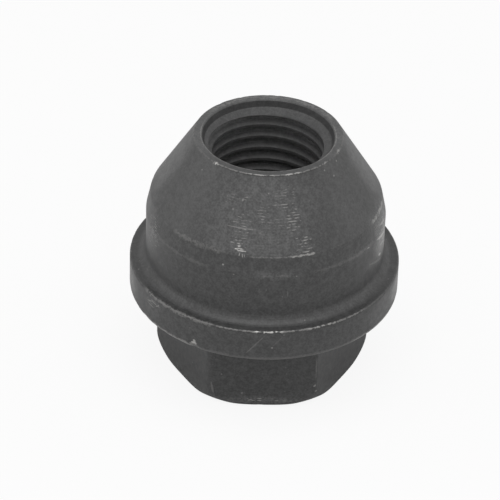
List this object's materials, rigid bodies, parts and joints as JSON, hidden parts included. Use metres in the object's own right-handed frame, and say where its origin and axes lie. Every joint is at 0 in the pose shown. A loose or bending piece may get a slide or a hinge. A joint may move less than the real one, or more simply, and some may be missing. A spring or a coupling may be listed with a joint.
{
  "type": "lug nut",
  "caption": "Flanged wheel lug nut with a hex drive at one end, a conical seat at the other and a right-hand thread right through, in black phosphated steel.",
  "frame": {"origin": "centre of the hex end face, on the thread's axis", "axes": "+Z along the thread's axis from the hex end to the conical seat; -Y square to a flat of the hex"},
  "size_m": [0.0306, 0.0306, 0.0298],
  "materials": {
    "phosphated_steel": "black phosphate, dry and matt, worn bright on its edges"
  },
  "bodies": {
    "root": {"lug_nut": "phosphated_steel"}
  },
  "joints": []
}
